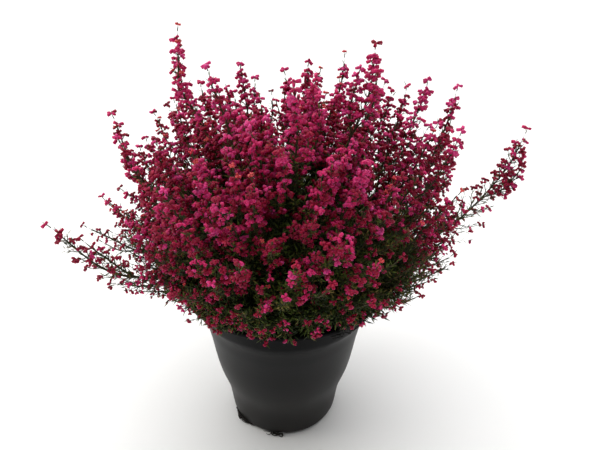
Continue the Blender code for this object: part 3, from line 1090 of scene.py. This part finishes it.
def tubes(paths, radii, sides):
    """Points and triangles of tapering tubes that end in a point."""
    count, rings, _ = paths.shape
    along = unit(np.gradient(paths, axis=1))
    whole = unit(paths[:, -1] - paths[:, 0])
    side = unit(np.cross(along, never_along(whole, 0.8)[:, None, :]))
    other = np.cross(along, side)
    angles = 2.0 * math.pi * np.arange(sides) / sides
    ring = np.cos(angles)[:, None] * side[:, :, None] + np.sin(angles)[:, None] * other[:, :, None]
    skin = (paths[:, :, None] + radii[:, :, None, None] * ring)[:, :-1]
    points = np.concatenate((skin.reshape(count, -1, 3), paths[:, -1:]), axis=1)
    return all_faces(points, tube_faces(rings, sides))


# %% Spike stems
MAIN_RINGS = 14
FINER_RINGS = 9
LEADER_RADII = (1.0, 0.4)
SIDE_RADII = (0.8, 0.36)
FINER_RADII = (0.62, 0.34)
TIP_SHORT = 0.8


def spike_paths(found, rings, thick):
    paths, radii = [], []
    for spike in found:
        start = spike.fork - (1.5 if spike.parent is None else FORK_SUNK)
        reaches = np.linspace(start, spike.tip - TIP_SHORT, rings)
        root = LEADER_RADII if spike.parent is None else thick
        paths.append(spike.points(reaches))
        radii.append(np.linspace(*root, rings))
    return np.array(paths), np.array(radii)


main_paths = spike_paths(spikes, MAIN_RINGS, SIDE_RADII)
finer_paths = spike_paths(finer + beside, FINER_RINGS, FINER_RADII)
spike_stems = joined("spike_stems", *tubes(*main_paths, 5))
finer_stems = joined("finer_stems", *tubes(*finer_paths, 4))
print("stem triangles", len(spike_stems.data.polygons), len(finer_stems.data.polygons))

# %% [markdown]
# ## Side shoots
#
# Each spike carries short shoots set round it by the golden angle. Under the
# bare neck they are only a few millimetres long and end in flowers, further
# down they grow longer and leafier, and in the shade they carry needles only.
# In the picture the bloom thins out towards the front rim, where the green
# shows. So each mass has a share of flowering shoots for its foot, which rises
# to nearly all of them with height, and low umbels have fewer bells. Near the
# burl the green shoots stand closer and longer, because on the real plant no
# light comes through there.

# %% Where the shoots stand
NECK = (4.0, 9.5)
SHOOT_STEP = (1.4, 2.0)
SHOOT_STEP_GROWTH = 0.026
SHOOT_LENGTHS = (2.5, 11.5)
SHOOT_GROWN_AT = 70.0
FLOWER_DEPTH = (60.0, 84.0)
FULL_FLOWER_HEIGHTS = (165.0, 208.0)
SMALL_UMBELS_BELOW = 145.0
SHADE_SHARE = 0.36
LOWEST_SHOOT = 22.0
OVER_RIM = BODY_STATIONS[-1][1] - 6.0
LOWEST_OUTSIDE = 96.0
TOP_SHOOT = 3.4
INNER_REACHES = (55.0, 80.0)
MOST_FLOWERS = 0.97
FLOWER_SHARE = {
    "low_front": 0.14, "low_front_right": 0.08, "middle_front": 0.2, "middle_front_right": 0.12,
    "low_right": 0.14, "long_left": 0.75, "low_left": 0.55, "low_front_left": 0.24,
    "middle_front_left": 0.45, "upper_front": 0.3,
}
FLOWER_REACH = {
    "long_right": 2.5, "long_left": 1.5, "low_left": 1.2, "tall_left": 1.2, "middle_right": 1.2,
}
CLOSE_SPRAYS = {"long_right": (0.5, 1.8), "long_left": (0.75, 1.4)}
TIP_UMBELS = (3, 4, 4, 5)
UMBELS = (3, 4, 5, 5, 6)
SMALL_UMBELS = (1, 2, 3, 3)
LENGTH_SHARES = (0.8, 1.2)
SHOOT_SEEDS = 40000


def shoots_on(spike, number):
    """Reach, length and bell count of each shoot of one spike, the tip first."""
    dice = random.Random(SHOOT_SEEDS + number)
    name = MASSES[spike.home][0]
    share = FLOWER_SHARE.get(name, MOST_FLOWERS)
    depth = dice.uniform(*FLOWER_DEPTH) * (0.7 + 0.3 * share) * FLOWER_REACH.get(name, 1.0)
    lowest = max(spike.fork + 4.0, SHADE_SHARE * spike.tip) if spike.parent else LOWEST_SHOOT
    crowd, longer = CLOSE_SPRAYS.get(name, (1.0, 1.0))
    found = [(spike.tip - TIP_SHORT - 0.5, TOP_SHOOT, dice.choice(TIP_UMBELS))]
    reach = spike.tip - dice.uniform(*NECK)
    while reach > lowest:
        below = spike.tip - reach
        grown = np.interp(below, (4.0, SHOOT_GROWN_AT), SHOOT_LENGTHS)
        length = grown * dice.uniform(*LENGTH_SHARES) * longer
        length *= np.interp(reach, INNER_REACHES, (1.6, 1.0))
        height = float(spike.points([reach])[0, 2])
        full = np.interp(height, FULL_FLOWER_HEIGHTS, (share, MOST_FLOWERS))
        flowers = dice.random() < full * np.interp(below, (0.7 * depth, 1.15 * depth), (1.0, 0.0))
        count = dice.choice(UMBELS if height > SMALL_UMBELS_BELOW else SMALL_UMBELS)
        found.append((reach, length, count if flowers else 0))
        step = dice.uniform(*SHOOT_STEP) + SHOOT_STEP_GROWTH * below
        reach -= step * crowd * np.interp(reach, INNER_REACHES, (0.6, 1.0))
    return np.array(found)


def clear_of_pot(points, spare):
    """Over the compost, over the rim, or hanging freely outside the lip."""
    far = np.hypot(points[:, 0], points[:, 1])
    floor = np.where(far > OVER_RIM, POT_HEIGHT, COMPOST_TOP + COMPOST_MOUND)
    floor = np.where(far > RIM_RADIUS + LIP_WIDTH + spare, LOWEST_OUTSIDE, floor)
    return points[:, 2] >= floor + spare


# %% Growing the shoots
SHOOT_ANGLES = (36.0, 56.0)
TOP_SHOOT_ANGLE = 0.15
SHOOT_RADII = (0.34, 0.3, 0.2)


def up_spike(spike, number, reaches, behind, ahead):
    """Rows for places up a spike: point, way along it, turn round it and owner."""
    way = unit(spike.points(reaches + ahead) - spike.points(reaches - behind))
    turns = number + GOLDEN_TURN * np.arange(len(reaches))
    return np.column_stack((spike.points(reaches), way, turns, np.full(len(reaches), number)))


def grow_shoots(found):
    """Arrays of all side shoots: three path points, two ways and the bell counts."""
    rows = []
    for number, spike in enumerate(found):
        own = shoots_on(spike, number)
        places = up_spike(spike, number, own[:, 0], 1.4, 0.6)
        rows.append(np.column_stack((places, own[:, 1:], spike.tip - own[:, 0])))
    rows = np.concatenate(rows)
    feet, alongs = rows[:, :3], rows[:, 3:6]
    turns, owners, lengths, bells, depths = rows[:, 6:].T
    dice = np.random.default_rng(21)
    angle = np.radians(dice.uniform(*SHOOT_ANGLES, len(feet)))
    angle[depths < 2.0 * TIP_SHORT] = TOP_SHOOT_ANGLE
    first = unit(swung(alongs, frames_along(alongs, turns)[:, :, 0], angle))
    second = unit(first + 0.5 * alongs + 0.3 * UP)
    middle = feet + first * (0.5 * lengths)[:, None]
    end = middle + second * (0.5 * lengths)[:, None]
    keep = clear_of_pot(end, 1.0) & clear_of_pot(feet, 0.5)
    grown = {
        "paths": np.stack((feet, middle, end), axis=1), "first": first, "second": second,
        "lengths": lengths, "depths": depths,
        "bells": bells.astype(int), "owners": owners.astype(int),
    }
    return {name: part[keep] for name, part in grown.items()}


shoots = grow_shoots(everything)
radii = np.tile(SHOOT_RADII, (len(shoots["paths"]), 1))
side_shoots = joined("side_shoots", *tubes(shoots["paths"], radii, 3))
flowering = int((shoots["bells"] > 0).sum())
print("shoots", len(radii), "flowering", flowering, "bells", int(shoots["bells"].sum()))

# %% [markdown]
# ## Bell flowers
#
# A heather flower is a waxy urn three to four millimetres long with four small
# lobes at its mouth. It starts as a four-sided face and is drawn up into the
# body. The mouth is turned by an eighth, so its four corners stand out as lobes,
# and is pushed in to a point, so that it reads as hollow. The other end narrows
# to the stalk. A round urn with curled lobes would be truer close up, but tens
# of thousands are needed, and sixteen triangles show the same outline from
# where the picture is taken. Buds are plain closed drops.

# %% One bell and one bud
BELL_MOUTH = 3.7
BELL_HOLLOW = 2.9


def close_to_point(item, at_top, height):
    """Pull the top or bottom face to one point on the axis."""
    pick(item)
    faces = item.data.polygons
    edge = (max if at_top else min)(face.center.z for face in faces)
    for vertex in item.data.vertices:
        vertex.select = False
    for face in faces:
        face.select = abs(face.center.z - edge) < 1e-6 and abs(face.normal.z) > 0.9
        for corner in face.vertices if face.select else ():
            item.data.vertices[corner].select = True
    bpy.ops.object.mode_set(mode="EDIT")
    move = (0.0, 0.0, height * MM - edge)
    bpy.ops.mesh.extrude_region_move(TRANSFORM_OT_translate={"value": move})
    bpy.ops.mesh.merge(type="CENTER")
    bpy.ops.object.mode_set(mode="OBJECT")


def turn_mouth(item, height, angle):
    """Turn the corners at a height about the axis."""
    pick(item)
    bpy.ops.object.mode_set(mode="EDIT")
    bpy.ops.mesh.select_mode(type="VERT")
    bpy.ops.mesh.select_all(action="DESELECT")
    bpy.ops.object.mode_set(mode="OBJECT")
    for vertex in item.data.vertices:
        vertex.select = abs(vertex.co.z - height * MM) < 1e-6
    bpy.ops.object.mode_set(mode="EDIT")
    middle = (0.0, 0.0, height * MM)
    bpy.ops.transform.rotate(value=angle, orient_axis="Z", center_override=middle)
    bpy.ops.object.mode_set(mode="OBJECT")


def bell_template():
    bell = draw_round("bell", 1.1, ((BELL_MOUTH, 1.1),), 4, 1.5)
    turn_mouth(bell, BELL_MOUTH, math.radians(45.0))
    close_to_point(bell, True, BELL_HOLLOW)
    close_to_point(bell, False, 0.0)
    return as_arrays(bell)


def bud_template():
    bud = draw_round("bud", 0.8, ((2.2, 0.7),), 4, 1.0)
    close_to_point(bud, True, 2.9)
    close_to_point(bud, False, 0.0)
    return as_arrays(bud)


bell, bud = bell_template(), bud_template()
print("bell triangles", len(bell[1]), "bud triangles", len(bud[1]))
print("bell length", bell[0][:, 2].max(), "width", round(float(bell[0][:, 0].max() * 2), 2))

# %% [markdown]
# ## Hanging the bells
#
# Each flowering shoot ends in a small umbel: one to six bells spread from its
# tip, turned out and nodding. Their stalks are hidden between the bells, so the
# bells start on the shoot itself. Low down they are smaller than at the lit top.
# Colour differs from umbel to umbel, and with height it carries painted light and
# shade: the rose tint is dealt more often at the top as painted light, the deep tint
# more often low down as painted shade, and a few coral buds sit near the tips. Every
# tint is a plain colour of its own mesh, dealt out umbel by umbel, with a stray bell
# here and there.

# %% Umbels
SUNK = 0.25
BELL_SIZES = (0.6, 0.86)
TINTS = ("crimson", "deep", "rose", "coral")
TINT_SHARES = (0.52, 0.24, 0.17, 0.07)
STRAY = 0.05
# Heights over which painted shade (the deep tint, low down) gives way to painted light (the rose
# tint, high up).
PAINTED_SHADE_AND_LIGHT_HEIGHTS = (168.0, 240.0)
FULL_SIZE_HEIGHTS = (135.0, 175.0, 250.0)
FULL_SIZES = (0.7, 0.95, 1.18)
PAINTED_SHADE_TIMES = (14.0, 0.22)
PAINTED_LIGHT_TIMES = (0.03, 2.6)
BUD_DEPTHS, BUD_TIMES = (0.0, 12.0, 30.0), (3.0, 1.4, 0.5)
MOOD_EVENNESS = 9.0
SPREADS = (0.5, 1.1)
NODS = (0.1, 1.1)
BUD_NOD = 0.2


def deal(shares, dice):
    """One tint for each row of shares, by the throw of a dice."""
    throw = dice.random(len(shares))[:, None]
    return (throw > np.cumsum(shares, axis=1)).sum(axis=1).clip(0, shares.shape[1] - 1)


def deal_tints(owners, depths, heights, dice):
    """A tint for each umbel: each spike has a mood, and buds sit near the tips."""
    shares = dice.dirichlet(np.array(TINT_SHARES) * MOOD_EVENNESS, owners.max() + 1)[owners]
    # Painted shade and light: the deep tint grows common low down and the rose tint high up.
    shares[:, 1] *= np.interp(heights, PAINTED_SHADE_AND_LIGHT_HEIGHTS, PAINTED_SHADE_TIMES)
    shares[:, 2] *= np.interp(heights, PAINTED_SHADE_AND_LIGHT_HEIGHTS, PAINTED_LIGHT_TIMES)
    shares[:, 3] *= np.interp(depths, BUD_DEPTHS, BUD_TIMES)
    return deal(shares / shares.sum(axis=1, keepdims=True), dice)


def hang_bells():
    dice = np.random.default_rng(33)
    umbels = np.flatnonzero(shoots["bells"] > 0)
    counts = shoots["bells"][umbels]
    heights = shoots["paths"][umbels, 2, 2]
    tints = deal_tints(shoots["owners"][umbels], shoots["depths"][umbels], heights, dice)
    which = np.repeat(np.arange(len(umbels)), counts)
    place_in = np.concatenate([np.arange(n) / n for n in counts])
    stray = dice.random(len(which)) < STRAY
    tint = np.where(stray, dice.choice(3, len(which)), tints[which])
    start = shoots["paths"][umbels[which], 2]
    ahead = shoots["second"][umbels[which]]
    turn = 2.0 * math.pi * place_in + 1.7 * which + dice.uniform(-0.35, 0.35, len(which))
    out = frames_along(ahead, turn)[:, :, 0]
    spread = dice.uniform(*SPREADS, len(which))[:, None]
    nod = dice.uniform(*NODS, len(which))[:, None]
    nod[tint == TINTS.index("coral")] *= BUD_NOD
    way = unit(spread * out + 0.35 * ahead - nod * UP)
    full = np.interp(heights, FULL_SIZE_HEIGHTS, FULL_SIZES)[which]
    size = dice.uniform(*BELL_SIZES, len(which)) * full
    frames = frames_along(way, dice.uniform(0.0, 6.3, len(which)))
    return {"feet": start - SUNK * way, "frames": frames, "sizes": size, "tints": tint}


bells = hang_bells()
print("bells by tint", dict(zip(TINTS, np.bincount(bells["tints"]).tolist())))

# %% Pieces under 200,000 triangles
PIECE_LIMIT = 190000


def pieces_by_tint(kind, names, dealt, triangles_each, make):
    """Joined pieces of each tint, none over the limit; make(tint, rows) gives arrays."""
    groups = []
    for tint, name in enumerate(names):
        rows = np.flatnonzero(dealt == tint)
        parts = np.array_split(rows, math.ceil(len(rows) * triangles_each / PIECE_LIMIT))
        ends = [""] if len(parts) == 1 else [f"_{n + 1}" for n in range(len(parts))]
        pairs = zip(ends, parts)
        groups.append([joined(f"{name}_{kind}{end}", *make(tint, part)) for end, part in pairs])
    print(kind, [len(item.data.polygons) for group in groups for item in group])
    return groups


def bells_at(tint, rows):
    template = bud if TINTS[tint] == "coral" else bell
    return copies(template, bells["feet"][rows], bells["frames"][rows], bells["sizes"][rows])


bell_pieces = pieces_by_tint("bells", TINTS, bells["tints"], len(bell[1]), bells_at)

# %% [markdown]
# ## Needle leaves
#
# The leaves are four millimetres long and half a millimetre wide, set in close
# whorls. Four triangles are enough: two end points and two at the widest part,
# lifted a little so that the needle has a keel. They sit thickly on the green
# shoots, thinly among the flowers and along the spike stems. They are drawn
# 0.7 mm wide, and broader and longer near the burl, so that fewer of them close
# the shade inside the crown.

# %% Needles
NEEDLE_LENGTHS = (3.4, 4.8)
NEEDLE_WIDTH = 0.7
NEEDLE_ANGLES = (0.45, 0.95)
INNER_NEEDLES = (62.0, 92.0)
INNER_LONGER = 1.7
INNER_WIDER = 2.6
NEEDLE_FACES = np.array(((0, 1, 3), (2, 3, 1), (0, 2, 1), (0, 3, 2)))
GREEN_STEP = 0.9
FLOWER_SHOOT_STEP = 2.2
STEM_STEP = 1.6


def inner(feet, most):
    """How many times larger each needle is, up to this near the burl."""
    return np.interp(np.linalg.norm(feet - HUB, axis=1), INNER_NEEDLES, (most, 1.0))


def needle_arrays(feet, ways, sides, lengths):
    lift = np.cross(sides, ways)
    middle = feet + ways * (0.42 * lengths)[:, None] + 0.14 * lift
    half = sides * (0.5 * NEEDLE_WIDTH * inner(feet, INNER_WIDER))[:, None]
    tip = feet + ways * lengths[:, None] - 0.1 * lift
    return all_faces(np.stack((feet, middle + half, tip, middle - half), axis=1), NEEDLE_FACES)


def needles_on_shoots(dice):
    step = np.where(shoots["bells"] > 0, FLOWER_SHOOT_STEP, GREEN_STEP)
    counts = np.floor(shoots["lengths"] / step).astype(int)
    which = np.repeat(np.arange(len(counts)), counts)
    order = np.concatenate([np.arange(n) for n in counts])
    share = (order + dice.uniform(0.2, 0.8, len(order))) / counts[which]
    low = share < 0.5
    paths = shoots["paths"][which]
    start = np.where(low[:, None], paths[:, 0], paths[:, 1])
    end = np.where(low[:, None], paths[:, 1], paths[:, 2])
    feet = start + (end - start) * (2.0 * share - np.where(low, 0.0, 1.0))[:, None]
    along = np.where(low[:, None], shoots["first"][which], shoots["second"][which])
    return feet, along, GOLDEN_TURN * order + which, shoots["owners"][which]


def needles_on_stems(found):
    rows = []
    for number, spike in enumerate(found):
        low = 0.8 * spike.fork + 4.0 if spike.parent is None else spike.fork + 3.0
        rows.append(up_spike(spike, number, np.arange(low, spike.tip - 4.0, STEM_STEP), 1.0, 1.0))
    rows = np.concatenate(rows)
    return rows[:, :3], rows[:, 3:6], rows[:, 6], rows[:, 7].astype(int)


def needles():
    dice = np.random.default_rng(55)
    parts = [needles_on_shoots(dice), needles_on_stems(everything)]
    feet, along, turn, owners = (np.concatenate(pair) for pair in zip(*parts))
    open_angle = dice.uniform(*NEEDLE_ANGLES, len(feet))
    way = unit(swung(along, frames_along(along, turn)[:, :, 0], open_angle))
    side = unit(np.cross(way, along))
    keep = clear_of_pot(feet + 3.0 * way, 0.6)
    lengths = dice.uniform(*NEEDLE_LENGTHS, len(feet)) * inner(feet, INNER_LONGER)
    return [part[keep] for part in (feet, way, side, lengths, owners)]


feet, ways, sides, lengths, owners = needles()
print("needles", len(feet))

# %% Three greens
GREENS = ("shade_green", "leaf_green", "tip_olive")
GREEN_SHARES = (0.5, 0.36, 0.14)
GREEN_EVENNESS = 7.0


def deal_greens():
    dice = np.random.default_rng(77)
    moods = dice.dirichlet(np.array(GREEN_SHARES) * GREEN_EVENNESS, owners.max() + 1)
    return deal(moods[owners], dice)


def needles_at(tint, rows):
    return needle_arrays(feet[rows], ways[rows], sides[rows], lengths[rows])


needle_pieces = pieces_by_tint("needles", GREENS, deal_greens(), len(NEEDLE_FACES), needles_at)

# %% [markdown]
# ## Petals, leaves and green wood
#
# Petals are thin and waxy: light comes through them a little, which warms their
# shaded side, and a weak gloss sits on top. A slow noise shifts each tint by a
# shade, because no two flowers open on the same day. The bells are shaded
# smooth, so that their few faces read as a rounded urn. Needles are nearly matt,
# and young stems go from grey green to brown. A picture of real petals would
# show no more at this size, and it would repeat.

# %% Plant materials
LIVING_SPREAD = (0.38, 0.62)
PETAL_NOISE = 180.0
LEAF_NOISE = 120.0
WOOD_NOISE = 90.0
PETAL_GLOW = 0.6


def living(name, tones, scale, roughness, glow=0.0):
    """A thin plant skin: two close tints mixed by noise, some light let through."""
    material, _, shader, _, _ = mottled(name, tones, LIVING_SPREAD, scale, 3.0, roughness, 1.42)
    shader.inputs["Specular IOR Level"].default_value = 0.3
    shader.inputs["Subsurface Weight"].default_value = glow
    shader.inputs["Subsurface Radius"].default_value = (1.0, 0.35, 0.5)
    shader.inputs["Subsurface Scale"].default_value = 1.8 * MM
    return material


PETALS = [living(name, tones, PETAL_NOISE, roughness, PETAL_GLOW) for name, tones, roughness in (
    ("waxy_crimson_petal", ("B61E5A", "D22C6E"), 0.5),
    # The deep tint is partly painted shade and the rose tint partly painted light, by where they
    # are dealt.
    ("older_deep_petal", ("7E0A2B", "9A0F37"), 0.55),
    ("fresh_rose_petal", ("C22869", "D83E86"), 0.5),
    ("coral_bud_skin", ("B83240", "CC4C4A"), 0.5),
)]
LEAVES = [living(name, tones, LEAF_NOISE, roughness) for name, tones, roughness in (
    ("shade_green_needle", ("22300F", "324218"), 0.6),
    ("leaf_green_needle", ("48581C", "5E6E2A"), 0.55),
    ("olive_brown_needle", ("6A622A", "82743C"), 0.6),
)]
young_wood = living("young_grey_green_stem", ("343822", "544A34"), WOOD_NOISE, 0.65)

stems = [[spike_stems, finer_stems, side_shoots]]
growth = (
    (bell_pieces, PETALS, "blossom"),
    (needle_pieces, LEAVES, "needles"),
    (stems, [young_wood], "bark"),
)
for groups, materials, slot in growth:
    for group, material in zip(groups, materials):
        for item in group:
            finish_piece(item, material, slot, *MASSES_IN_FRAME)
print("materials", [material.name for material in PETALS + LEAVES])

# %% [markdown]
# ## Root fibres
#
# Some dead black roots have grown out of the drain holes on the left and creep
# along the foot of the pot. Each is a path that follows the rounded foot, rises
# and falls a little and has a thin round section. They could be drawn by hand
# as curves, but a few waves with dice tangle them in the same way.

# %% Fibres
FIBRE_HOLES = ((3, 16, 0.46), (4, 6, -0.3))
FIBRE_RADIUS = 0.45
FIBRE_STEPS = 14
ALONG = np.linspace(0.0, 1.0, FIBRE_STEPS)


def threads(name, paths, end_share, material, replaced):
    """Thin threads on these paths, tapering to a share of their thickness."""
    radii = np.linspace(FIBRE_RADIUS, end_share * FIBRE_RADIUS, FIBRE_STEPS)
    item = joined(name, *tubes(np.array(paths), np.tile(radii, (len(paths), 1)), 5))
    finish_piece(item, material, "bark", replaced)
    print(name, len(item.data.polygons), "faces")


def foot_radius(height):
    """The pot's outside radius within its rounded foot."""
    top, radius = BODY_STATIONS[0]
    share = np.clip(1.0 - height / top, 0.0, 1.0)
    return FOOT_RADIUS + (radius - FOOT_RADIUS) * np.sqrt(1.0 - share ** 2)


def fibre_path(bearing, drift, dice):
    """A root that leaves a drain hole and creeps along the foot of the pot."""
    curl, phase = dice.uniform(5.0, 11.0), dice.uniform(0.0, 6.3)
    angle = bearing + drift * dice.uniform(0.3, 1.0) * ALONG + 0.035 * np.sin(curl * ALONG + phase)
    height = FIBRE_RADIUS + 0.2 + dice.uniform(0.4, 2.6) * np.cos(0.8 * curl * ALONG) ** 2
    away = dice.uniform(0.3, 3.2) * np.sin(0.6 * curl * ALONG) ** 2
    return around(foot_radius(height) + FIBRE_RADIUS + 0.2 + away, angle, height)


dice = random.Random(9)
paths = [
    fibre_path(drain_bearing(hole) + dice.uniform(-0.06, 0.06), drift, dice)
    for hole, count, drift in FIBRE_HOLES for _ in range(count)
]
dead_root = grainy("dead_black_root", ("0E0C0A", "241C16"), 500.0, 0.8)
threads("root_fibres", paths, 0.5, dead_root, "compost")

# %% [markdown]
# A few withered twigs hang over the rim at the front right, dark against the
# collar. They are laid like the roots, from over the lip down the flared wall.

# %% Withered twigs
WITHERED = ((-59.0, 4), (-46.0, 2))
WITHERED_DROPS = (13.0, 20.0)


def withered_path(bearing, dice):
    height = POT_HEIGHT + 4.0 - dice.uniform(*WITHERED_DROPS) * ALONG
    lip = RIM_RADIUS + LIP_WIDTH
    wall = np.where(height > POT_HEIGHT - LIP_HEIGHT - 1.0, lip, collar_radius(height))
    curl = dice.uniform(7.0, 12.0)
    far = wall + FIBRE_RADIUS + 0.3 + 1.6 * np.sin(curl * ALONG) ** 2
    far[0] = lip - 4.0
    angle = math.radians(bearing) + 0.05 * ALONG * np.sin(curl * ALONG + dice.uniform(0.0, 6.3))
    return around(far, angle, height)


dice = random.Random(12)
paths = [
    withered_path(bearing + dice.uniform(-3.5, 3.5), dice)
    for bearing, count in WITHERED for _ in range(count)
]
dried = grainy("dried_black_twig", ("090807", "15110E"), 500.0, 0.9)
threads("withered_twigs", paths, 0.6, dried, "foliage_low_front_right")

# %% [markdown]
# ## Measuring up
#
# The finished plant is measured against the solid model's box, and both boxes are
# printed in millimetres, so that a spray that grew too far shows at once.

# %% Sizes and the end
SEEN_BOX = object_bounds()
shown = [item for item in bpy.data.objects if item.type == "MESH" and not item.hide_render]
total = sum(len(polygon.vertices) - 2 for item in shown for polygon in item.data.polygons)
print("triangles in all", total)
for name, box in (("solid", CAD_BOX), ("seen", SEEN_BOX)):
    print(name, "box in mm", [[round(v / MM, 1) for v in corner] for corner in box])
